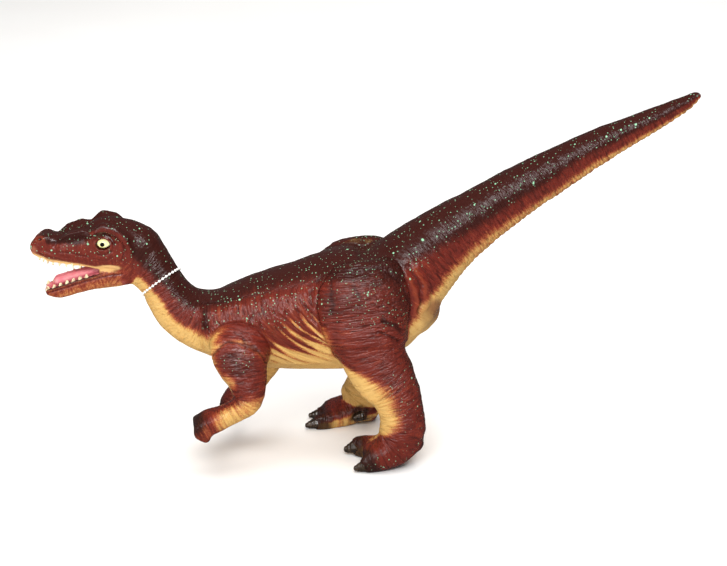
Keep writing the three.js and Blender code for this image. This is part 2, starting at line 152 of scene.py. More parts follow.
def hump(values, wide):
    """A soft bump that is 1 at 0 and has faded at about twice its width."""
    return np.exp(-(values / wide) ** 2)


def grain(points, size, seed):
    """Smooth noise from -1 to 1, with lumps about size across."""
    shift = Vector((seed, 1.7 * seed, -seed))
    return np.array([noise.noise(Vector(p) + shift) for p in points / size]) * NOISE_GAIN


def smooth_line(path, steps=8):
    """Points along a smooth curve through path."""
    path = np.asarray(path, float)
    ends = np.vstack([2 * path[0] - path[1], path, 2 * path[-1] - path[-2]])
    line = []
    for a, b, c, d in zip(ends[:-3], ends[1:-2], ends[2:-1], ends[3:]):
        for t in np.arange(steps) / steps:
            line.append(0.5 * (2 * b + (c - a) * t + (2 * a - 5 * b + 4 * c - d) * t ** 2
                               + (3 * b - a - 3 * c + d) * t ** 3))
    return np.vstack([line, path[-1]])


def along(points, path):
    """How far along the curve each point lies, its offset from there, and the curve's direction."""
    line = smooth_line(path)
    tangent = np.gradient(line, axis=0)
    tangent /= np.linalg.norm(tangent, axis=1)[:, None]
    travelled = np.append(0, np.cumsum(np.linalg.norm(np.diff(line, axis=0), axis=1)))
    nearest = np.empty(len(points), int)
    for start in range(0, len(points), AT_ONCE):
        some = slice(start, start + AT_ONCE)
        gaps = ((points[some, None] - line[None]) ** 2).sum(axis=2)
        nearest[some] = gaps.argmin(axis=1)
    offset = points - line[nearest]
    step = (offset * tangent[nearest]).sum(axis=1)
    return travelled[nearest] + step, offset, tangent[nearest]


def off_line(places, path):
    """Distance of 2-D places from the smooth curve through path."""
    line = smooth_line(path, 5)
    best = np.full(len(places), np.inf)
    for a, b in zip(line[:-1], line[1:]):
        run = b - a
        t = np.clip(((places - a) @ run) / (run @ run), 0, 1)
        best = np.minimum(best, np.linalg.norm(places - a - t[:, None] * run, axis=1))
    return best


def oval(places, middle, radii):
    """Distance of 2-D places from middle, where 1 is on the oval's edge."""
    return np.linalg.norm((places - np.array(middle)) / np.array(radii), axis=1)


def inside(places, outline):
    """True for 2-D places inside the smooth closed outline."""
    line = smooth_line(outline + [outline[0]], 4)
    found = np.zeros(len(places), bool)
    for a, b in zip(line[:-1], line[1:]):
        crosses = (a[1] > places[:, 1]) != (b[1] > places[:, 1])
        if a[1] != b[1]:
            crossing = a[0] + (places[:, 1] - a[1]) / (b[1] - a[1]) * (b[0] - a[0])
            found ^= crosses & (places[:, 0] < crossing)
    return found


def seen_at(points):
    """Where the camera sees points of the drawing frame, in pixels."""
    offset = points - CAMERA_TARGET
    scale = CAMERA_AWAY / MM_PER_PIXEL / (CAMERA_AWAY - offset @ BACK)
    return PHOTO_MIDDLE + np.stack([offset @ RIGHT * scale, -(offset @ UP) * scale], axis=1)


def select_only(*objects):
    bpy.ops.object.select_all(action="DESELECT")
    for obj in objects:
        obj.select_set(True)
    bpy.context.view_layer.objects.active = objects[0]


def finish_with(obj, kind, **settings):
    """Adds a modifier and applies it."""
    select_only(obj)
    modifier = obj.modifiers.new(kind.title(), kind)
    for name, value in settings.items():
        setattr(modifier, name, value)
    bpy.ops.object.modifier_apply(modifier=modifier.name)


def edit_mesh(obj, work):
    mesh = bmesh.new()
    mesh.from_mesh(obj.data)
    work(mesh)
    mesh.to_mesh(obj.data)
    mesh.free()


def copy_of(node):
    """A merged copy of a CAD node, free of the frame."""
    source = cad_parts[node]
    copy = bpy.data.objects.new(node + "_copy", source.data.copy())
    bpy.context.scene.collection.objects.link(copy)
    copy.data.materials.clear()
    edit_mesh(copy, lambda mesh: bmesh.ops.remove_doubles(mesh, verts=mesh.verts, dist=MERGE_WITHIN * MM))
    return copy


def twin_of(pattern):
    """A copy of an object with a mesh of its own."""
    twin = pattern.copy()
    twin.data = pattern.data.copy()
    bpy.context.scene.collection.objects.link(twin)
    return twin


def joined(objects, name):
    """One object of several, with its place in its mesh."""
    select_only(*objects)
    if len(objects) > 1:
        bpy.ops.object.join()
    bpy.ops.object.transform_apply(location=True, rotation=True, scale=True)
    made = bpy.context.object
    made.name = name
    made.data.name = name
    return made


def finished(obj, material, slot, *nodes):
    """Gives a piece its material and its place in the frame."""
    obj.data.materials.clear()
    obj.data.materials.append(material)
    select_only(obj)
    bpy.ops.object.shade_smooth()
    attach(obj, "root")
    if nodes:
        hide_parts(*nodes)


# Materials

def add(material, kind, inputs=None, stops=(), **settings):
    """Adds a node, with values or other outputs as inputs, a ramp's stops, and settings of its own."""
    made = material.node_tree.nodes.new("ShaderNode" + kind)
    for name, value in settings.items():
        setattr(made, name, value)
    for name, value in (inputs or {}).items():
        if isinstance(value, bpy.types.NodeSocket):
            material.node_tree.links.new(value, made.inputs[name])
        else:
            made.inputs[name].default_value = value
    for i, (place, colour) in enumerate(stops):
        ramp = made.color_ramp.elements
        stop = ramp[i] if i < len(ramp) else ramp.new(place)
        stop.position = place
        stop.color = linear(colour)
    return made


def new_material(name, **shader):
    """A material and its Principled shader."""
    material = bpy.data.materials.new(name)
    material.use_nodes = True
    bsdf = material.node_tree.nodes["Principled BSDF"]
    for socket, value in shader.items():
        bsdf.inputs[socket].default_value = value
    return material, bsdf


def mottled(name, roughness, size, stops, detail=2.0, bump=0):
    """Paint in patches of size mm, as uneven as from a brush, and bump mm high."""
    material, bsdf = new_material(name, Roughness=roughness, IOR=1.5)
    link = material.node_tree.links.new
    place = add(material, "TexCoord").outputs["Object"]
    noise_inputs = {"Vector": place, "Scale": 1 / (size * MM), "Detail": detail}
    patch = add(material, "TexNoise", noise_inputs).outputs["Fac"]
    link(add(material, "ValToRGB", {"Fac": patch}, stops).outputs["Color"], bsdf.inputs["Base Color"])
    if bump:
        relief = add(material, "Bump", {"Height": patch, "Strength": 0.4, "Distance": bump * MM})
        link(relief.outputs["Normal"], bsdf.inputs["Normal"])
    return material


RED_OVER_OCHRE = [
    (0.0, "#d3a963"), (0.2, "#cb9a54"), (0.42, "#b06c3d"), (0.62, "#904428"), (0.82, "#75291c"),
    (1.0, "#642219"),
]


def painted_vinyl():
    """Soft PVC cast in ochre. Airbrushed red-brown fades out in streaks along the wrinkles, and dark brown
    lies on the back, with mint green spatter over both. Painted shade darkens the hollows of the folds and
    the creases between wrinkles. A satin lacquer gives broken, milky highlights."""
    material, bsdf = new_material("airbrushed_vinyl", Roughness=0.27, IOR=1.43)
    link = material.node_tree.links.new

    def node(kind, inputs=None, output=0, **settings):
        return add(material, kind, inputs, **settings).outputs[output]

    def field(name, output="Fac"):
        """A field of the cast, as kept on the mesh."""
        return node("Attribute", output=output, attribute_name=name)

    def arithmetic(operation):
        return lambda a, b: node("Math", {0: a, 1: b}, operation=operation)

    plus, minus, times, larger = map(arithmetic, ("ADD", "SUBTRACT", "MULTIPLY", "MAXIMUM"))

    def step(value, low, high):
        """0 where value is low and 1 where it is high, smooth between."""
        inputs = {"Value": value, "From Min": low, "From Max": high}
        return node("MapRange", inputs, "Result", interpolation_type="SMOOTHSTEP")

    def painted(coat, amount, colour):
        """The coat with amount of a colour over it."""
        return node("Mix", {"Factor": amount, 6: coat, 7: colour}, 2, data_type="RGBA")

    def streaks(across, length, detail):
        """Noise drawn out along the wrinkles, across and length in millimetres."""
        run = node("VectorMath", {0: lie, 1: (1 / across, 1 / length, 1)}, operation="MULTIPLY")
        return node("TexNoise", {"Vector": run, "Scale": 1.0, "Detail": detail, "Roughness": 0.55}, "Fac")

    def blotches(size, detail=2.0):
        """Even noise with lumps of size millimetres."""
        return node("TexNoise", {"Vector": place, "Scale": 1 / (size * MM), "Detail": detail}, "Fac")

    def dots(spacing, low, high, seed):
        """Spots about spacing apart, with radii from low to high as shares of it."""
        moved = node("VectorMath", {0: place, 1: (seed, seed, seed)}, operation="ADD")
        cells = add(material, "TexVoronoi", {"Vector": moved, "Scale": 1 / (spacing * MM)}).outputs
        size = node("SeparateColor", {"Color": cells["Color"]}, "Red")
        radius = node("MapRange", {"Value": size, "To Min": low, "To Max": high}, "Result")
        wobble = times(minus(blotches(spacing * 0.35), 0.5), 0.26)
        return step(minus(plus(radius, wobble), cells["Distance"]), 0.0, 0.04)

    place = node("TexCoord", output="Object")
    lie = field("lie", "Vector")
    shade, fold, rough_skin, steady = (field(name) for name in ("shade", "fold", "wrinkled", "steady"))
    fine = streaks(1.5, 12, 3.0)
    creased = streaks(2.4, 9, 2.0)
    broad = streaks(4.5, 26, 2.0)
    mist = minus(blotches(0.8, 1.0), 0.5)

    # Red-brown over the ochre, and dark brown over both
    thin_streak = times(minus(fine, 0.5), times(steady, 0.95))
    wide_streak = times(minus(broad, 0.5), times(steady, 0.6))
    covered = plus(plus(field("spray"), plus(thin_streak, wide_streak)), times(mist, 0.6))
    coat = node("ValToRGB", {"Fac": covered}, "Color", stops=RED_OVER_OCHRE)
    darker = plus(plus(shade, times(wide_streak, 0.8)), times(mist, 0.4))
    coat = painted(coat, step(darker, 0.15, 0.95), linear("#35140f"))

    # Painted shade in the hollows of the folds and in the creases between wrinkles, and warm on the crests
    groove_shade = times(step(times(fold, -1.0), 0.1, 0.9), step(covered, 0.1, 0.5))
    coat = painted(coat, times(groove_shade, 0.62), linear("#2c0f0c"))
    seam_shade = times(step(creased, 0.5, 0.36), times(rough_skin, step(covered, -0.2, 0.7)))
    coat = painted(coat, times(seam_shade, 0.5), linear("#34130e"))
    crest = times(step(fold, 0.2, 1.0), step(shade, 0.9, 0.2))
    coat = painted(coat, times(crest, 0.3), linear("#b4532f"))
    coat = painted(coat, field("touch", "Alpha"), field("touch", "Color"))

    # The spatter
    fleck = larger(dots(5.6, -0.04, 0.18, 0.3), dots(14, -0.16, 0.12, 0.7))
    fleck = larger(fleck, times(dots(2.3, 0.06, 0.24, 0.1), 0.75))
    fleck = times(fleck, step(times(field("spatter"), blotches(20)), 0.2, 0.4))
    link(painted(coat, fleck, linear("#93c9a2")), bsdf.inputs["Base Color"])

    wrinkle = times(plus(times(fine, 0.7), times(creased, 1.1)), rough_skin)
    surface = plus(plus(wrinkle, times(blotches(1.9), 0.16)), times(fleck, 0.1))
    bump = node("Bump", {"Height": surface, "Strength": 1.0, "Distance": 1.9 * MM}, "Normal")
    link(bump, bsdf.inputs["Normal"])
    return material


# The skin, cast in one from the parts of flesh

def refine_face(mesh):
    end = to_row([FACE_END, 0, 0])[0]
    edges = {edge for face in mesh.faces if face.calc_center_median().x < end for edge in face.edges}
    bmesh.ops.subdivide_edges(mesh, edges=list(edges), cuts=1, use_grid_fill=True)
    bmesh.ops.triangulate(mesh, faces=[face for face in mesh.faces if len(face.verts) > 4])


def cast_skin():
    """One closed mesh over all the parts of flesh, finer on the face."""
    copies = [copy_of(node) for node in FLESH]
    for copy in copies:
        finish_with(copy, "DISPLACE", strength=SKIN_SWELL * MM, mid_level=0)
    skin = joined(copies, "skin")
    finish_with(skin, "REMESH", mode="VOXEL", voxel_size=SKIN_VOXEL * MM)
    edit_mesh(skin, refine_face)
    return skin


class Cast:
    """The skin's points, where each one lies, and the fields that shape and paint it."""

    def __init__(self, obj):
        self.obj = obj
        mesh = obj.data
        count = len(mesh.vertices)
        flat = np.empty(count * 3)
        mesh.vertices.foreach_get("co", flat)
        self.points = flat.reshape(-1, 3) / MM - DRAWING_SHIFT
        ends = np.empty(len(mesh.edges) * 2, int)
        mesh.edges.foreach_get("vertices", ends)
        self.a, self.b = ends.reshape(-1, 2).T
        self.links = np.bincount(self.a, minlength=count) + np.bincount(self.b, minlength=count)
        self.label = self.nearest_part()
        self.tail = self.part("tail")
        self.head = self.part("head", "lower_jaw")
        self.skull = self.part("head", soft=1)
        self.jaw = self.part("lower_jaw", soft=1)
        self.thigh = self.part("thigh", soft=14)
        self.legs = self.part(*LEG_PARTS, soft=14)
        self.arms = self.part(*ARM_PARTS, soft=14)
        self.trunk = np.clip(1 - self.legs - self.arms - self.head, 0, 1)
        self.height = np.zeros(count)
        # hollow is the folds' signed depth, and the material darkens its hollows with painted shade
        self.hollow = np.zeros(count)

    def nearest_part(self):
        """The name of the part that each point is nearest to."""
        corners, faces, owner = [], [], []
        for node in FLESH:
            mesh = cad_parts[node].data
            start = len(corners)
            corners += [v.co for v in mesh.vertices]
            faces += [[start + i for i in face.vertices] for face in mesh.polygons]
            owner += [node] * len(mesh.polygons)
        tree = BVHTree.FromPolygons(corners, faces)
        return np.array([owner[tree.find_nearest(Vector(p))[2]] for p in to_row(self.points)])

    def near(self, values):
        """The mean of each point's neighbours."""
        count = len(self.points)
        if values.ndim > 1:
            return np.stack([self.near(column) for column in values.T], axis=1)
        total = np.bincount(self.a, values[self.b], count) + np.bincount(self.b, values[self.a], count)
        return total / self.links

    def spread(self, values, rounds):
        """Values blurred over the surface."""
        for _ in range(rounds):
            values = 0.5 * values + 0.5 * self.near(values)
        return values

    def part(self, *starts, soft=2):
        """1 on the parts whose names start so, fading to 0 at their borders."""
        return self.spread(np.array([label.startswith(starts) for label in self.label], float), soft)

    def melt(self, places, weight, rounds):
        """Smooths places by weight, which fills the valley where a limb joins the body."""
        for _ in range(rounds):
            places += weight[:, None] * 0.5 * (self.near(places) - places)

    def relax(self, weight, rounds):
        """Smooths facets away and gives back what that takes, smoothed too, so that no limb thins."""
        start = self.points.copy()
        self.melt(self.points, weight, rounds)
        lost = start - self.points
        self.melt(lost, weight, rounds)
        self.points += lost

    def write(self):
        self.obj.data.vertices.foreach_set("co", to_row(self.points).ravel())
        self.obj.data.update()

    def normals(self):
        self.write()
        flat = np.empty(len(self.points) * 3)
        self.obj.data.vertices.foreach_get("normal", flat)
        return flat.reshape(-1, 3)

    def find_places(self):
        """Where each point lies along and round spine, leg and arm, and in the photograph."""
        points = self.body = self.points.copy()
        self.facing = self.normals()
        self.spine, round_spine, tangent = along(points, SPINE)
        upward = np.cross(tangent, (0, 1, 0))
        upward /= np.linalg.norm(upward, axis=1)[:, None]
        rise = (round_spine * upward).sum(axis=1)
        self.out = np.abs(round_spine[:, 1])
        self.turn = np.degrees(np.arctan2(self.out, rise))
        self.girth = np.hypot(self.out, rise)
        self.right = points[:, 1] > look_up(points[:, 0], [place[:2] for place in SPINE])

        # The right leg is the left one swung ahead, and both sides carry the same folds
        leg = self.part(*LEG_PARTS, soft=0) > 0
        swing = (np.clip(HIP_HEIGHT - points[:, 2], 0, None) / HIP_HEIGHT) ** STRIDE_BEND
        swing = np.where(leg & self.right, swing, 0)
        as_left = np.abs(points)
        as_left[:, 0] = points[:, 0] + STRIDE * swing
        as_left[:, 1] -= SPLAY * swing
        mirrored = as_left.copy()
        mirrored[:, 1] = np.where(leg, -as_left[:, 1], points[:, 1] - round_spine[:, 1] - self.out)
        self.seen = seen_at(mirrored)
        wander = np.stack([grain(points, WANDER_SIZE, 12.5), grain(points, WANDER_SIZE, 17.5)], axis=1)
        self.drawn = self.seen + (1.7 - 1.2 * self.head)[:, None] * wander

        self.down_leg, round_leg, _ = along(as_left, LEG)
        self.leg_turn = np.arctan2(round_leg[:, 1], -round_leg[:, 0])
        self.leg_girth = np.hypot(round_leg[:, 0], round_leg[:, 1])
        reach = {side: along(as_left, ARMS[side]) for side in SIDES}
        on_right_arm = self.right & (self.part(*ARM_PARTS, soft=0) > 0)
        self.down_arm = np.where(on_right_arm, reach["right"][0], reach["left"][0])
        round_arm = np.where(on_right_arm[:, None], reach["right"][1], reach["left"][1])
        self.arm_turn = np.arctan2(round_arm[:, 1], -round_arm[:, 0])

    def unrolled(self, part, lengthwise, sideways):
        """The surface rolled out flat, left and right set apart so that they don't wrinkle alike."""
        left, right = GRAIN_SHIFT[part]
        return np.stack([lengthwise, sideways, np.where(self.right, right, left)], axis=1)

    def crease(self, lines, where):
        """Sinks lines of the photograph into the skin, with a low lip beside each."""
        for path, wide, deep in lines:
            gap = off_line(self.drawn, path)
            line = hump(gap, wide) * where
            lip = hump(gap - 2.1 * wide, wide) * where
            self.height -= deep * (line - 0.35 * lip)
            # A sunk line's hollow gets painted shade in the material
            self.hollow -= min(1.25, 2 / wide) * np.sign(deep) * min(1, abs(deep)) * line

    def keep(self, name, values, kind="FLOAT"):
        """Stores a field on the mesh for the materials to read."""
        layer = self.obj.data.attributes.new(name, kind, "POINT")
        key = {"FLOAT": "value", "FLOAT_VECTOR": "vector", "FLOAT_COLOR": "color"}[kind]
        layer.data.foreach_set(key, np.ascontiguousarray(values, np.float32).ravel())


# Size of the drawn lines' wander, and where the grain of each part starts, left and right

WANDER_SIZE = 6
GRAIN_SHIFT = {"body": (0.0, 9.0), "leg": (17.0, 31.0), "arm": (43.0, 55.0)}

# The photograph's folds on the toy's left side, in pixels, with half width in pixels and depth in mm

THIGH_EDGE = [
    (312, 318), (311, 300), (312, 288), (323.7, 276), (339, 271.4), (355, 268.4), (373.7, 268.4), (387, 272),
    (396, 278), (402, 286), (407.4, 296.4), (411.4, 306.6), (410, 322),
]
THIGH_BELOW = [(400, 345), (330, 345)]
THIGH_SHELF = [(316, 309), (340, 302), (365, 300), (390, 308)]
THIGH_CREASES = [
    ([(334, 273), (332.5, 285), (334, 300), (336, 320), (337, 345)], 3.4, 0.55),
    ([(355, 269), (353, 280), (357, 296)], 3.4, 0.45),
    ([(338, 313), (352, 307), (364, 303), (377, 305), (388, 311)], 1.1, 0.55),
    ([(339, 321), (350, 317), (362, 313), (374, 314)], 1.0, 0.45),
    ([(378, 333), (388, 335.5), (399, 340)], 1.2, 1.3),
    ([(380, 320), (391, 323), (401, 329)], 1.2, 1.0),
    ([(352, 332), (366, 326), (380, 327)], 1.1, 0.5),
    ([(345, 343), (357, 338), (370, 341)], 1.6, 0.3),
    ([(386, 303), (394, 308), (402, 317)], 1.0, 0.7),
    ([(383, 311), (391, 315), (400, 322)], 0.9, 0.5),
    ([(340, 300), (350, 296), (362, 294)], 0.8, 0.3),
    ([(316, 300), (322, 294), (330, 292)], 0.8, 0.35),
    ([(315, 309), (323, 303), (331, 300)], 0.8, 0.4),
]
HIP_FOLDS = [
    ([(405, 274), (412.4, 286), (416.5, 298.5), (415.5, 315)], 2.4, -1.1),
    ([(415.5, 268), (423.7, 284), (426.7, 298.5), (423.7, 313)], 2.4, -1.0),
    ([(410, 266), (418.5, 282), (421.6, 298), (419.5, 315)], 1.3, 0.8),
    ([(421, 264), (430, 281), (432.5, 296), (428, 310)], 1.3, 0.6),
    ([(433, 262), (440, 274), (440, 288)], 1.3, 0.5),
]
SHOULDER_FOLDS = [
    ([(212, 356), (220, 346), (233, 342.5), (247, 346)], 1.4, 0.8),
    ([(216, 364), (228, 357), (241, 359), (252, 366)], 1.0, 0.5),
    ([(234, 367), (246, 369), (259, 371)], 1.1, 0.6),
    ([(243, 340), (254, 350), (266, 362)], 1.3, 0.8),
    ([(234, 331), (249, 344), (262, 356)], 1.1, 0.6),
    ([(226, 374), (240, 376), (256, 378)], 1.0, 0.5),
]
EYE = ((103, 244.7), (6.9, 5.2))
NOSTRIL = (39.2, 239.2)
FACE_LINES = [
    ([(89.3, 239), (95, 235.8), (102.7, 234.6), (109.5, 237.5), (114, 244)], 1.3, 0.9),
    ([(96, 254), (104, 255.5), (112, 252)], 1.0, 0.5),
    ([(94, 259), (105, 261), (116, 256)], 1.0, 0.35),
    ([(57, 247), (60, 240), (68.3, 234.5), (83.6, 231), (91, 234)], 1.4, -0.5),
    ([(54, 246), (57, 238), (67, 232)], 1.4, 0.5),
    ([(58, 252), (72, 254), (88, 257)], 1.1, 0.45),
    ([(38.6, 251.4), (58.7, 257.6), (83.6, 264.2), (116, 268)], 1.1, -0.45),
    ([(121, 243), (124, 252), (121, 262)], 1.2, 0.5),
    ([(130, 242), (134.5, 253), (132, 268), (130, 280)], 2.0, 0.45),
    ([(49, 293), (66, 288), (84, 282.5), (107, 276), (122, 274)], 1.1, 0.5),
]

# Lines of the paint, in pixels: the shoulder's bare crest, the brow, the dark bands with half widths,
# and the height that the face is dark above

SHOULDER_CREST = [(214, 350), (224, 343), (236, 341), (247, 344), (262, 356)]
BROW = [(92, 233), (103, 230), (116, 234), (125, 242), (129, 251), (128, 262)]
# On the thigh these bands follow creases, so they are airbrushed paint and painted shade together
DARK_BANDS = [
    ([(333, 270), (332, 290), (334, 312)], 4.0),
    ([(356, 268), (354, 280), (358, 297)], 4.0),
    ([(208, 296), (206, 316), (205, 326)], 5.0),
    ([(398, 330), (388, 322), (380, 318)], 3.4),
]
DARK_ABOVE = [(30, 231), (38, 233.6), (57, 239), (66, 234.5), (84, 231), (101, 229), (120, 228)]

# Paints of the hand brush, with the nostril's near-black being painted shade, and how far the toes' paint
# reaches from the middle of a claw

HAND_PAINT = {
    "gum_edge": "#5a1f18", "gum": "#dcae70", "palate": "#cf6f6a", "jaw": "#d9787f", "lip": "#24120e",
    "nostril_rim": "#8a3d28", "nostril": "#2a1210", "snout": "#b06c50", "tips": "#2b1510", "vent": "#9a7442",
    "vent_fold": "#7c4b2e",
}
TOE_PAINT = 13
HALLUX_PAINT = 8

# How far round from the ridge of the back, in degrees, ochre and red-brown start, along the spine

OCHRE_FROM = [
    (0, 128), (90, 126), (105, 119), (120, 109), (135, 103), (150, 99), (195, 106), (240, 112), (300, 118),
    (345, 122), (400, 121), (450, 129), (495, 117), (510, 124), (600, 120),
]
DARK_UNTIL = [
    (0, 60), (75, 90), (90, 97), (105, 90), (120, 78), (135, 70), (150, 53), (195, 40), (240, 37), (320, 58),
    (345, 72), (390, 92), (450, 94), (480, 82), (510, 90), (600, 88),
]

# The angle from the front of the leg where the red-brown starts, by height
RED_FROM = [(0, -60), (20, -30), (26, 12), (34, 62), (44, 80), (73, 84), (84, 45), (92, -15), (160, -25)]

# The pitch of each kind of fold, in millimetres

FLANK_PITCH = 7.2
FLANK_THIN_PITCH = 4.6
RING_PITCH = 4.4
BELLY_PITCH = 5.2
LEG_PITCH = 4.2
ARM_PITCH = 4.3


def ridges(place, pitch, drift, sharp):
    """Ridges at a pitch along place, from 0 in the grooves to 1, pushed along by drift."""
    return np.abs(np.sin(np.pi * (place / pitch + drift))) ** sharp


def soften(cast):
    """Smooths the solids' facets and joins away, less on small parts, lips and tail."""
    small = cast.part("hand", "foot", "forearm", soft=4)
    limbs = cast.part("shin", "upper_arm", soft=4)
    x, z = cast.points[:, 0], cast.points[:, 2]
    weight = 1 - 0.78 * small - 0.4 * limbs - 0.45 * cast.tail * ease(60, 200, x)
    lips = hump(z - look_up(x, UPPER_LIP), 5) + hump(z - look_up(x, LOWER_LIP), 5)
    weight -= (0.62 - 0.45 * ease(174, 182, z) + 0.28 * np.clip(lips, 0, 1)) * cast.head
    flatten_gums(cast)
    for limb in (cast.part("thigh", soft=24), cast.part("upper_arm", soft=16)):
        cast.melt(cast.points, 4 * limb * (1 - limb), 50)
    cast.melt(cast.points, cast.head * ease(184, 190, z), 25)
    cast.relax(np.clip(weight, 0.07, 1), 46)


def flatten_gums(cast):
    """Presses the coarse teeth of the cast into the lip lines."""
    x = cast.points[:, 0]
    upper = look_up(x, UPPER_LIP)
    lower = look_up(x, LOWER_LIP)
    z = cast.points[:, 2]
    on_skull = (cast.label == "head") & (x < -190)
    on_jaw = (cast.label == "lower_jaw") & (x < -200)
    z = np.where(on_skull, np.maximum(z, upper), z)
    cast.points[:, 2] = np.where(on_jaw, np.minimum(z, lower), z)


def fold_flank(cast):
    """Folds that run down the flank, then bend back towards the groin."""
    u, v = cast.seen.T
    below = np.clip(v + 0.36 * (u - 225) - 309, 0, None)
    across = (u - 0.009 * below ** 2) * MM_PER_PIXEL
    flank = cast.trunk * ease(196, 222, u) * ease(346, 326, u)
    flank *= ease(30, 46, cast.turn) * ease(150, 112, cast.turn) * (1 - cast.tail)
    places = np.stack([across, below * 0.14, 0 * below], axis=1)
    drift = grain(places, 9, 3.1)
    fade = np.clip(0.62 + 0.55 * grain(places, 6, 8.4), 0.08, 1.1)
    wide = ridges(across, FLANK_PITCH, 0.42 * drift, 0.75)
    thin = ridges(across, FLANK_THIN_PITCH, -0.5 * drift, 0.8)
    thin = 0.6 + (thin - 0.6) * ease(48, 26, below)
    depth = flank * fade * (0.8 + 0.75 * ease(10, 44, below))
    cast.height += depth * (1.15 * (wide - 0.62) + 0.4 * (thin - 0.62))
    cast.hollow += flank * fade * (1.5 * (wide - 0.55) + 0.7 * (thin - 0.6))
    cast.flank, cast.below, cast.fold_across = flank, below, across
    cast.fold_paint = 0.5 - 0.5 * np.cos(2 * np.pi * (across / FLANK_PITCH + 0.42 * drift))


def ring_tail_and_neck(cast):
    """Rings round the tail and the neck, and broader ones under the tail."""
    ringed = cast.unrolled("body", cast.spine, np.radians(cast.turn) * cast.girth * 0.22)
    cast.tail_rings = cast.trunk * ease(318, 350, cast.spine)
    neck_rings = cast.trunk * ease(215, 190, cast.spine) * ease(70, 100, cast.spine)
    rings = np.clip(cast.tail_rings + 0.8 * neck_rings, 0, 1) * (0.35 + 0.65 * ease(30, 80, cast.turn))
    bend = grain(ringed, 7, 5.2)
    patchy = np.clip(0.6 + 0.6 * grain(ringed, 5, 1.3), 0.05, 1.1)
    ring = ridges(cast.spine, RING_PITCH, 0.5 * bend, 0.8) - 0.6
    belly_ring = ridges(cast.spine, BELLY_PITCH, 0.25 * bend, 0.7) - 0.6
    under = ease(100, 140, cast.turn)
    cast.height += rings * patchy * 0.42 * ring * (1 - 0.6 * under)
    cast.height += 0.75 * cast.tail_rings * under * belly_ring
    cast.hollow += rings * (patchy * 0.9 * ring + under * 0.8 * belly_ring)
    cast.rings = rings


def wrinkle_limbs(cast):
    """Wrinkles round the legs and arms."""
    legs = cast.unrolled("leg", cast.down_leg, cast.leg_turn * 6.0)
    bend = grain(legs, 8, 2.2)
    patch = cast.legs * np.clip(0.5 + 0.7 * grain(legs, 6, 6.6), 0.0, 1.1)
    ring = ridges(cast.down_leg, LEG_PITCH, 0.7 * bend, 0.8) - 0.6
    cast.height += patch * 0.45 * ring
    cast.hollow += patch * ring
    arms = cast.unrolled("arm", cast.down_arm, cast.arm_turn * 4.0)
    ring = ridges(cast.down_arm, ARM_PITCH, grain(arms, 6, 4.4), 0.8) - 0.6
    patch = np.clip(0.5 + 0.6 * grain(arms, 5, 7.7), 0, 1.1) * cast.arms
    cast.height += patch * 0.45 * ring
    cast.hollow += 0.6 * patch * ring


def draw_folds(cast):
    """The thigh's bulge and shelf, and the folds that are drawn one by one."""
    u = cast.seen[:, 0]
    cast.near_thigh = np.clip(cast.thigh + cast.trunk * ease(300, 312, u), 0, 1)
    edge_gap = off_line(cast.drawn, THIGH_EDGE)
    within = np.where(inside(cast.seen, THIGH_EDGE + THIGH_BELOW), 1.0, 0.0)
    bulge = cast.spread(within * cast.near_thigh, 3)
    cast.height += 2.0 * bulge * ease(0.5, 13, edge_gap) - 0.7 * hump(edge_gap, 1.8) * cast.near_thigh
    # A line of painted shade along the thigh's edge
    cast.hollow -= 0.8 * hump(edge_gap, 1.6) * cast.near_thigh
    shelf = hump(off_line(cast.drawn, THIGH_SHELF), 12)
    cast.height += 2.4 * cast.near_thigh * shelf * ease(308, 320, u) * ease(402, 380, u)
    cast.crease(THIGH_CREASES, cast.near_thigh)
    cast.crease(HIP_FOLDS, cast.trunk)
    cast.crease(SHOULDER_FOLDS, np.clip(cast.trunk + cast.arms, 0, 1) * ease(0, 8, cast.out))


def shape_face(cast):
    """Lids round the eye, the nostril and the lines of the face."""
    eye_gap = oval(cast.seen, *EYE)
    lid = hump(eye_gap - 1.22, 0.2) * cast.head
    sunk = 1.6 * cast.head * ease(1.0, 0.75, eye_gap)
    cast.height += lid * (1.0 + 0.35 * ease(248, 240, cast.seen[:, 1])) - sunk
    # Painted shade in a ring round the eye, in the lid's crease and in the nostril
    cast.hollow -= 1.4 * cast.head * hump(eye_gap - 1.0, 0.14) + 0.5 * cast.head * hump(eye_gap - 1.62, 0.16)
    nostril = oval(cast.seen, NOSTRIL, (2.1, 1.5))
    cast.height += cast.head * (0.5 * hump(nostril - 1.5, 0.5) - 1.6 * hump(nostril, 0.8))
    cast.hollow -= 1.5 * cast.head * hump(nostril, 0.9)
    cast.crease(FACE_LINES, cast.head)


def raise_relief(cast):
    """Adds the vent's lump and uneven casting, and lifts the skin, but not under the feet."""
    height = cast.height
    height += 1.8 * cast.trunk * ease(1.3, 0.3, oval(cast.seen, (434, 310), (9, 13)))
    height += 0.3 * grain(cast.body, 15, 1.1) * (1 - 0.6 * cast.head) + 0.1 * grain(cast.body, 4.5, 9.1)
    height -= SKIN_SWELL
    height *= 1 - ease(4.5, 1.5, cast.body[:, 2])
    cast.points = cast.body + cast.facing * height[:, None]
    cast.points[:, 2] = np.maximum(cast.points[:, 2], FLOOR_GAP)
    cast.write()


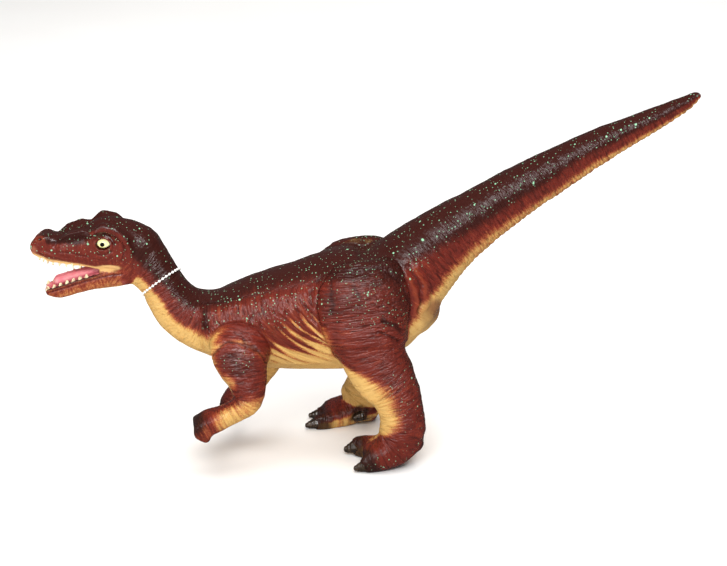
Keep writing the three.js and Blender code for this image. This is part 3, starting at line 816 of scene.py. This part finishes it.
def keep_wrinkles(cast):
    """Keeps how the wrinkles lie, how strong they are, and how deep the folds."""
    lie = cast.unrolled("body", cast.spine, np.radians(cast.turn) * cast.girth)
    offset = np.average(cast.spine - cast.fold_across, weights=cast.flank + 1e-6)
    flank_lie = cast.unrolled("body", cast.fold_across + offset, cast.below * MM_PER_PIXEL)
    lie += (flank_lie - lie) * ease(0.0, 0.35, cast.flank)[:, None]
    on_leg = cast.legs > 0.5
    on_arm = cast.arms > 0.5
    lie[on_leg] = cast.unrolled("leg", cast.down_leg, cast.leg_turn * cast.leg_girth)[on_leg]
    lie[on_arm] = cast.unrolled("arm", cast.down_arm, cast.arm_turn * 12.0)[on_arm]
    cast.keep("lie", lie, "FLOAT_VECTOR")
    smooth_back = ease(55, 20, cast.turn) * cast.trunk * (1 - cast.tail_rings)
    wrinkled = 0.4 + 0.65 * cast.flank + 0.7 * cast.rings + 0.6 * (cast.legs + cast.arms)
    wrinkled = np.clip(wrinkled, 0, 1.2) * (1 - 0.35 * cast.head)

    # The lie jumps at the limbs' borders, so streaks and bump are muted there
    steady = 1 - np.clip(hump(cast.legs - 0.5, 0.24) + hump(cast.arms - 0.5, 0.24), 0, 1)
    cast.keep("steady", steady)
    # wrinkled sets the bump and how dark the painted shade in the creases between wrinkles is
    cast.keep("wrinkled", wrinkled * (1 - 0.45 * smooth_back) * steady)
    # fold is the folds' signed depth: the material paints shade into its hollows and warms its crests
    cast.keep("fold", np.clip(cast.hollow, -1, 1))


# The paint: spray is airbrushed red-brown, shade is dark brown paint, with painted shade where its bands
# follow the thigh's creases, and touch is brushed by hand, with painted shade in the nostril

def paint_body(cast):
    """Dark brown on the back, red-brown below it, ochre on the belly."""
    fade = 13 + 8 * ease(330, 380, cast.spine)
    spray = ease(1, -1, (cast.turn - look_up(cast.spine, OCHRE_FROM)) / fade)
    spray = np.maximum(spray, 0.3 * ease(330, 400, cast.spine))
    cast.shade = ease(20, -24, cast.turn - look_up(cast.spine, DARK_UNTIL))

    # On the lower flank the spray reached only the folds' crests
    lens = cast.flank * ease(24, 46, cast.below)
    cast.spray = spray + 1.5 * lens * (cast.fold_paint - 0.55)


def paint_legs(cast):
    """Sprayed from outside and behind. Angles run from 0 in front to 90 outside."""
    z = cast.body[:, 2]
    angle = np.degrees(cast.leg_turn)
    spray = ease(-32, 28, angle - look_up(z, RED_FROM))
    spray -= 0.12 * hump(z - 102, 17) * ease(80, 35, angle)
    spray = np.maximum(spray, ease(-140, -172, angle))
    instep = ease(26, 16, z) * ease(0.0, 0.5, cast.facing[:, 2])
    inner_side = ease(-25, -60, angle) * ease(-170, -145, angle)
    spray = np.maximum(spray, np.clip(instep + 0.6 * ease(20, 10, z) * (1 - 0.7 * inner_side), 0, 1))
    shade = ease(125, 165, angle) * (0.6 - 0.35 * ease(85, 105, z)) + 0.4 * instep
    shade += 0.45 * ease(112, 140, z) + 0.4 * ease(146, 160, z)
    cast.spray = cast.spray * (1 - cast.legs) + cast.legs * spray
    cast.shade = cast.shade * (1 - cast.legs) + cast.legs * np.clip(shade, 0, 1)
    cast.spray -= 0.5 * (1 - cast.arms) * ease(1.4, 0.3, oval(cast.drawn, (323, 341), (10, 15)))


def paint_arms(cast):
    """The upper arm is sprayed from outside and the forearm from above."""
    angle = np.degrees(cast.arm_turn)
    upper = ease(-24, 22, angle - 16) * ease(200, 160, angle)
    upper -= 0.7 * ease(1.4, 0.3, oval(cast.drawn, (229, 384), (8, 9)))
    fore = 0.95 - 0.8 * ease(35, 84, np.abs(angle - 6)) + 0.6 * ease(76, 90, cast.down_arm)
    spray = upper + (fore - upper) * ease(46, 58, cast.down_arm)
    cast.shoulder = ease(1.25, 0.5, oval(cast.seen, (238, 362), (24, 16)))
    knuckles = ease(84, 95, cast.down_arm) * ease(105, 60, np.abs(angle - 6))
    cast.spray = cast.spray * (1 - cast.arms) + cast.arms * spray
    cast.shade = cast.shade * (1 - cast.arms) + cast.arms * (0.5 * cast.shoulder + 0.85 * knuckles)
    cast.shade = np.maximum(cast.shade, 0.4 * cast.shoulder * cast.trunk)
    cast.spray -= 0.35 * (cast.trunk + cast.arms) * hump(off_line(cast.seen, SHOULDER_CREST), 3.0)


def paint_bands(cast):
    """Airbrushed dark bands down the thigh and the chest, which on the thigh are also painted shade in the
    creases they follow, and the olive ochre of the vent.
    """
    band = np.zeros(len(cast.body))
    for path, wide in DARK_BANDS:
        band = np.maximum(band, hump(off_line(cast.drawn, path), wide))
    band *= np.clip(cast.near_thigh + cast.trunk, 0, 1) * (1 - cast.head)
    cast.shade = np.maximum(cast.shade, 0.78 * band)
    cast.vent = ease(1.3, 0.8, oval(cast.seen, (433, 314), (12, 14))) * cast.trunk
    cast.spray = cast.spray * (1 - 0.6 * cast.vent)


def paint_face(cast):
    """Dark above the brow and snout, red-brown on the cheeks, and paler down the lower jaw."""
    u, v = cast.seen.T
    brow = hump(off_line(cast.seen, BROW), 2.8) * ease(8, 11, cast.out)
    cheek = ease(1.2, 0.6, oval(cast.seen, (103, 250), (24, 16)))
    snout = ease(1.2, 0.7, oval(cast.seen, (62, 252), (28, 9)))
    nose = ease(1.3, 0.7, oval(cast.seen, (37, 244), (9, 9)))
    bare = np.clip(cheek + 0.7 * brow + 0.8 * snout + nose, 0, 1)
    face_top = ease(3, -3, v - look_up(u, DARK_ABOVE)) * ease(120, 95, u)
    shade = cast.shade * (1 - 0.8 * cast.head * bare)
    shade = np.maximum(shade, cast.head * face_top * 0.9 * (1 - 0.7 * brow))

    jaw, skull = cast.jaw, cast.skull
    below_lip = look_up(cast.body[:, 0], LOWER_LIP) - cast.body[:, 2]
    rim = below_lip - 2.6
    chin = 0.74 - 0.2 * ease(4, 9, below_lip) - 0.35 * ease(10, 15, below_lip)
    spray = cast.spray * (1 - jaw) + jaw * chin
    spray = np.maximum(spray, jaw * hump(rim, 1.8) * 0.95)
    cast.shade = shade * (1 - jaw) + jaw * 0.35 * hump(rim, 1.6)
    cast.spray = spray * (1 - skull) + skull * np.maximum(spray, 0.86 - 0.12 * brow)


def brush_touches(cast):
    """Brushes gums, mouth, nostril, toes, fingers and vent."""
    touch = np.zeros((len(cast.body), 4))

    def brush(paint, amount):
        amount = np.clip(amount, 0, 1)
        before = touch[:, 3]
        after = amount + before * (1 - amount)
        share = np.divide(amount, after, out=np.zeros_like(after), where=after > 0)
        touch[:, :3] += (np.array(linear(HAND_PAINT[paint])[:3]) - touch[:, :3]) * share[:, None]
        touch[:, 3] = after

    x, z = cast.body[:, 0], cast.body[:, 2]
    head, jaw, skull = cast.head, cast.jaw, cast.skull
    above_lip = z - look_up(x, UPPER_LIP)
    facing = cast.facing[:, 2]
    brush("gum_edge", 0.7 * skull * hump(above_lip - 4.2, 1.0) * ease(-176, -190, x))
    brush("gum", skull * ease(3.2, 1.6, above_lip) * ease(-186, -196, x) * 0.95)
    inner = cast.out < look_up(x, MOUTH_HALF_WIDTH)
    brush("palate", skull * ease(0.1, -0.4, facing) * inner * ease(-180, -192, x))
    brush("jaw", jaw * ease(0.1, 0.5, facing) * inner * ease(-180, -192, x))
    rim = hump(z - look_up(x, LOWER_LIP), 1.8) * (1 - inner) * ease(-196, -206, x)
    brush("lip", 0.85 * jaw * ease(0.0, 0.4, facing) * rim)
    mouth_corner = ease(1.15, 0.8, oval(cast.seen, (107, 268.3), (14, 2.9)))
    brush("gum", 0.8 * head * mouth_corner * ease(-176, -186, x))
    brush("nostril_rim", 0.4 * head * hump(oval(cast.seen, NOSTRIL, (2.1, 1.5)) - 1.7, 0.8))
    # Near-black in the nostril's pit is painted shade
    brush("nostril", 0.9 * head * ease(1.0, 0.6, oval(cast.seen, NOSTRIL, (1.9, 1.3))))
    brush("snout", 0.5 * head * ease(1.3, 0.4, oval(cast.seen, (32, 251), (5, 5))))

    uneven = 1.5 * grain(cast.body, 5, 2.9)
    for claw in CLAWS:
        low, high = (np.array(corner) / MM - DRAWING_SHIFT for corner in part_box(claw))
        away = np.linalg.norm(cast.body - (low + high) / 2, axis=1)
        reach = HALLUX_PAINT if "hallux" in claw else TOE_PAINT
        brush("tips", 0.92 * ease(1.3, 0.75, (away + uneven) / reach))
    brush("tips", 0.8 * cast.arms * ease(1.3, 0.6, oval(cast.drawn, (197, 423), (8, 13))))
    brush("vent", 0.6 * cast.vent)
    brush("vent_fold", 0.75 * cast.trunk * ease(1.3, 0.5, oval(cast.drawn, (435, 309), (8, 12))))
    cast.keep("touch", touch, "FLOAT_COLOR")


def keep_spray(cast):
    """Keeps the airbrush's paint, and the spatter on back, crown, shoulder and thigh."""
    cast.keep("spray", np.clip(cast.spray, -0.2, 1.2))
    cast.keep("shade", np.clip(cast.shade, 0, 1.1))
    z = cast.body[:, 2]
    spatter = ease(112, 60, cast.turn) * cast.trunk + cast.head * ease(140, 90, cast.turn)
    spatter += 0.7 * cast.arms * cast.shoulder
    outer_thigh = ease(112, 80, z) * ease(60, 100, np.degrees(cast.leg_turn))
    spatter += cast.legs * (0.95 * ease(110, 128, z) + 0.7 * outer_thigh)
    cast.keep("spatter", np.clip(spatter, 0, 1))


# Eyes, teeth, tongue, claws and thread

EYE_OUTLINE = {"ahead": 4.6, "behind": 6.0, "high": 3.5}
EYE_CORNER = 0.45  # the height lost at the rear corner
PUPIL_RADIUS = 1.75
PUPIL_AHEAD = 0.9


def make_eye(side, white, black):
    """A flat glossy lens with a pointed rear corner. Its middle rings are the pupil."""
    low, high = (np.array(corner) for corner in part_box(f"eye_{side}"))
    middle = (low + high) / 2
    bpy.ops.mesh.primitive_uv_sphere_add(segments=48, ring_count=32, radius=1.0)
    eye = bpy.context.object
    out = SIDES[side]
    for vertex in eye.data.vertices:
        x, y, z = vertex.co
        reach = EYE_OUTLINE["behind"] if x > 0 else EYE_OUTLINE["ahead"]
        rise = EYE_OUTLINE["high"] * (1 - EYE_CORNER * max(x, 0) ** 2)
        vertex.co = (x * reach * MM, out * z * (high[1] - low[1]) / 2, y * rise * MM)
    eye.location = middle
    eye = joined([eye], f"painted_eye_{side}")
    edit_mesh(eye, lambda mesh: bmesh.ops.recalc_face_normals(mesh, faces=mesh.faces))
    finished(eye, white, "eye_paint", f"eye_{side}")
    eye.data.materials.append(black)
    for face in eye.data.polygons:
        offset = (face.center - Vector(middle)) / MM
        if math.hypot(offset.x + PUPIL_AHEAD, offset.z) < PUPIL_RADIUS and offset.y * out > 0:
            face.material_index = 1


TOOTH = {"wide": 2.9, "thick": 0.85, "sunk": 1.5, "tip": 0.5, "rounded": 0.35, "uneven": 0.12}
UPPER_PLACES = (-246, -243, -240, -236, -231, -226, -221, -215.5)
LOWER_PLACES = (-241, -236, -231, -226, -221, -216, -211)
UPPER_TEETH = {"places": UPPER_PLACES, "high": 2.7, "way": -1, "stout": 1.0}
LOWER_TEETH = {"places": LOWER_PLACES, "high": 2.4, "way": 1, "stout": 1.45}
HEAD_TURN = 0.1405  # the snout's sideways slope, from the root of the skull on
HEAD_ROOT = (-165, 6)
LIP_INSET = 1.7
LIP_PROBE = 2.4  # rays for the lip start this far off the lip line and BESIDE_HEAD away
GUM_PROBE = 8
BESIDE_HEAD = 30


def head_middle(x):
    """Where the middle of the turned head lies across the toy, by x."""
    return HEAD_ROOT[1] + (HEAD_ROOT[0] - x) * HEAD_TURN


def make_teeth(name, teeth, lip, tree, material):
    """Two rows of blunt cones set into the gum of the cast, one on each side."""
    way = teeth["way"]
    bpy.ops.mesh.primitive_cone_add(vertices=14, radius1=TOOTH["wide"] / 2 * MM, radius2=TOOTH["tip"] * MM,
                                    depth=(teeth["high"] + TOOTH["sunk"]) * MM)
    pattern = bpy.context.object
    finish_with(pattern, "BEVEL", width=TOOTH["rounded"] * MM, segments=2)
    row = []
    for k, x in enumerate(teeth["places"]):
        at_lip = look_up(x, lip)
        for out in SIDES.values():
            beside = to_row([x, head_middle(x) + BESIDE_HEAD * out, at_lip - LIP_PROBE * way])
            outer = tree.ray_cast(Vector(beside), Vector((0, -out, 0)))[0]
            root = outer - Vector((0, out * LIP_INSET * MM, 0))
            root.z = (at_lip + GUM_PROBE * way) * MM
            gum = tree.ray_cast(root, Vector((0, 0, -way)))[0]
            tooth = twin_of(pattern)
            tooth.location = gum + Vector((0, 0, way * (teeth["high"] - TOOTH["sunk"]) / 2 * MM))
            tooth.scale = (teeth["stout"], TOOTH["thick"], 1 + TOOTH["uneven"] * math.sin(2.7 * k + out))
            tooth.rotation_euler = (0 if way > 0 else math.pi, TOOTH["uneven"] * math.sin(1.9 * k), 0)
            row.append(tooth)
    bpy.data.objects.remove(pattern)
    finished(joined(row, name), material, "painted_vinyl")


TONGUE = {"voxel": 0.5, "furrow_deep": 0.7, "furrow_wide": 1.1}


def make_tongue(material):
    """The tongue, rounded from its plain solid, with a furrow down its middle."""
    tongue = joined([copy_of("tongue")], "painted_tongue")
    finish_with(tongue, "REMESH", mode="VOXEL", voxel_size=TONGUE["voxel"] * MM)
    finish_with(tongue, "SMOOTH", factor=0.5, iterations=8)
    for vertex in tongue.data.vertices:
        x = vertex.co.x / MM - DRAWING_SHIFT[0]
        middle = (head_middle(x) + DRAWING_SHIFT[1]) * MM
        beside = (vertex.co.y - middle) / (TONGUE["furrow_wide"] * MM)
        vertex.co.z -= TONGUE["furrow_deep"] * MM * math.exp(-beside ** 2)
    finished(tongue, material, "mouth_paint", "tongue")


CLAW = {"voxel": 0.45, "swell": 0.25, "ridge": 0.16, "ridges_each_mm": 2.6 / (2 * math.pi)}


def make_claw(node, material):
    """A smooth claw over its coarse solid, ringed by low ridges."""
    claw = joined([copy_of(node)], "enamelled_" + node)
    finish_with(claw, "REMESH", mode="VOXEL", voxel_size=CLAW["voxel"] * MM)
    finish_with(claw, "SMOOTH", factor=0.5, iterations=10)
    for vertex in claw.data.vertices:
        wave = math.sin(2 * math.pi * CLAW["ridges_each_mm"] * vertex.co.x / MM)
        vertex.co += vertex.normal * (CLAW["swell"] + CLAW["ridge"] * wave) * MM
        vertex.co.z = max(vertex.co.z, FLOOR_GAP * MM)
    finished(claw, material, "claw_paint", node)


THREAD_AT = np.array([-154.2, 3.0, 144.0])
THREAD_NORMAL = np.array([-0.541, 0.352, 0.763])
BEAD_ACROSS = 2.0
BEAD_PITCH = 3.2
STRING_ACROSS = 0.6
THREAD_STEPS = 180
THREAD_SMOOTHING = 12
THREAD_PROBE = 80


def make_thread(tree, material):
    """A loop of small white beads on a string, tight round the neck."""
    normal = THREAD_NORMAL / np.linalg.norm(THREAD_NORMAL)
    one = np.cross(normal, (0, 1, 0))
    one /= np.linalg.norm(one)
    two = np.cross(normal, one)
    start = Vector(to_row(THREAD_AT))
    loop = []
    for k in range(THREAD_STEPS):
        turn = 2 * math.pi * k / THREAD_STEPS
        way = Vector(one * math.cos(turn) + two * math.sin(turn))
        hit = tree.ray_cast(start, way, THREAD_PROBE * MM)[0]
        loop.append(np.array(hit + way * BEAD_ACROSS / 2 * MM))
    loop = np.array(loop)
    for _ in range(THREAD_SMOOTHING):
        loop = (np.roll(loop, 1, axis=0) + 2 * loop + np.roll(loop, -1, axis=0)) / 4
    closed = np.vstack([loop, loop[0]])
    travelled = np.append(0, np.cumsum(np.linalg.norm(np.diff(closed, axis=0), axis=1)))
    count = round(travelled[-1] / (BEAD_PITCH * MM))
    bpy.ops.mesh.primitive_uv_sphere_add(segments=14, ring_count=10, radius=BEAD_ACROSS / 2 * MM)
    pattern = bpy.context.object
    beads = []
    for k in range(count):
        bead = twin_of(pattern)
        far = travelled[-1] * k / count
        bead.location = [np.interp(far, travelled, closed[:, axis]) for axis in range(3)]
        beads.append(bead)
    bpy.data.objects.remove(pattern)
    curve = bpy.data.curves.new("string", "CURVE")
    curve.dimensions = "3D"
    curve.bevel_depth = STRING_ACROSS / 2 * MM
    curve.bevel_resolution = 3
    spline = curve.splines.new("POLY")
    spline.points.add(THREAD_STEPS - 1)
    for point, co in zip(spline.points, loop):
        point.co = (*co, 1)
    spline.use_cyclic_u = True
    string = bpy.data.objects.new("string", curve)
    bpy.context.scene.collection.objects.link(string)
    select_only(string)
    bpy.ops.object.convert(target="MESH")
    finished(joined([bpy.context.object] + beads, "beaded_tag_thread"), material, "thread", "tag_thread")


# The studio

FLOOR_SIZE = 16
FLOOR_STOPS = [(0.3, "#f4f2ef"), (0.7, "#f7f6f4")]
FLOOR_PATCH = 1000 / 3
WORLD_COLOUR = "#f7f8fa"
WORLD_STRENGTH = 0.12

# Lamps: direction, distance, width and height in metres, watts, and whether the lacquer mirrors it

LAMPS = [
    ("top_softbox", (0, 0, 1), 2.2, 2.4, 2.4, 62, False),
    ("key_softbox", (-0.12, -0.75, 0.62), 1.7, 1.1, 0.5, 25, True),
    ("fill_softbox", (-0.8, -0.55, 0.3), 2.2, 1.2, 1.2, 12, True),
    ("back_softbox", (0.3, 0.8, 0.6), 2.2, 1.6, 0.8, 14, False),
]


def add_softbox(name, way, away, wide, high, watts, mirrored):
    """A soft rectangular lamp that looks at the toy from way."""
    lamp = bpy.data.lights.new(name, "AREA")
    lamp.shape = "RECTANGLE"
    lamp.size = wide
    lamp.size_y = high
    lamp.energy = watts
    obj = bpy.data.objects.new(name, lamp)
    bpy.context.scene.collection.objects.link(obj)
    aim = Vector(to_row(CAMERA_TARGET))
    obj.location = aim + Vector(way).normalized() * away
    obj.rotation_euler = (aim - obj.location).to_track_quat("-Z", "Y").to_euler()
    obj.visible_glossy = mirrored


def make_studio():
    """A pale floor, four softboxes, and the photograph's camera."""
    scene = bpy.context.scene
    scene.view_settings.view_transform = "Standard"
    bpy.ops.mesh.primitive_plane_add(size=FLOOR_SIZE)
    floor = bpy.context.object
    floor.name = "floor"
    # Matt painted board
    floor.data.materials.append(mottled("pale_floor", 0.9, FLOOR_PATCH, FLOOR_STOPS))
    floor.visible_glossy = False  # the photograph's toy mirrors a dark room, and only its lamps
    world = bpy.data.worlds.new("studio")
    world.use_nodes = True
    background = world.node_tree.nodes["Background"]
    background.inputs["Color"].default_value = linear(WORLD_COLOUR)
    background.inputs["Strength"].default_value = WORLD_STRENGTH
    scene.world = world
    for lamp in LAMPS:
        add_softbox(*lamp)

    camera = bpy.data.cameras.new("camera")
    camera.sensor_width = SENSOR_WIDE
    camera.lens = CAMERA_AWAY / MM_PER_PIXEL * SENSOR_WIDE / PHOTO_WIDE
    camera.clip_start = 0.05
    camera.clip_end = 60
    obj = bpy.data.objects.new("camera", camera)
    scene.collection.objects.link(obj)
    obj.location = to_row(CAMERA_TARGET + CAMERA_AWAY * BACK)
    obj.rotation_euler = Vector(-BACK).to_track_quat("-Z", "Y").to_euler()
    scene.camera = obj


make_studio()
skin = cast_skin()
cast = Cast(skin)
soften(cast)
cast.find_places()
for work in (
    fold_flank, ring_tail_and_neck, wrinkle_limbs, draw_folds, shape_face, raise_relief, keep_wrinkles,
    paint_body, paint_legs, paint_arms, paint_bands, paint_face, brush_touches, keep_spray,
):
    work(cast)
triangles = sum(len(face.vertices) - 2 for face in skin.data.polygons)
finish_with(skin, "DECIMATE", ratio=SKIN_TRIANGLES / triangles)
finished(skin, painted_vinyl(), "painted_vinyl", *FLESH)

# Cream acrylic on the teeth, stained brown in places as brushed by hand
ivory = mottled("cream_tooth_paint", 0.3, 2.2, [(0.42, "#efe4b8"), (0.75, "#8a4a2c")])
skin_tree = BVHTree.FromObject(skin, bpy.context.evaluated_depsgraph_get())
make_teeth("upper_teeth", UPPER_TEETH, UPPER_LIP, skin_tree, ivory)
make_teeth("lower_teeth", LOWER_TEETH, LOWER_LIP, skin_tree, ivory)

# Pink satin paint, thin enough for the ochre vinyl to warm it
pink = [(0.3, "#d9707c"), (0.6, "#e08a90"), (0.85, "#e6a58f")]
make_tongue(mottled("mouth_satin_paint", 0.34, 5, pink, detail=3.0))

# Glossy enamel on the eyes
eye_white = mottled("pale_yellow_eye_enamel", 0.12, 4.0, [(0.42, "#f1eeb4"), (0.75, "#e6dc8e")])
eye_black = mottled("black_pupil_enamel", 0.1, 1.0, [(0.42, "#0b0a0a"), (0.75, "#141110")])
for side in SIDES:
    make_eye(side, eye_white, eye_black)

# Dark olive-brown gloss enamel, rubbed paler in places
olive = [(0.3, "#231a13"), (0.55, "#372a1f"), (0.8, "#5a4a39")]
enamel = mottled("claw_enamel", 0.22, 3.5, olive, detail=3.0, bump=0.4)
for claw in CLAWS:
    make_claw(claw, enamel)

# White moulded plastic
make_thread(skin_tree, mottled("white_moulded_thread", 0.35, 3.0, [(0.42, "#f6f5f1"), (0.75, "#e2e0da")]))
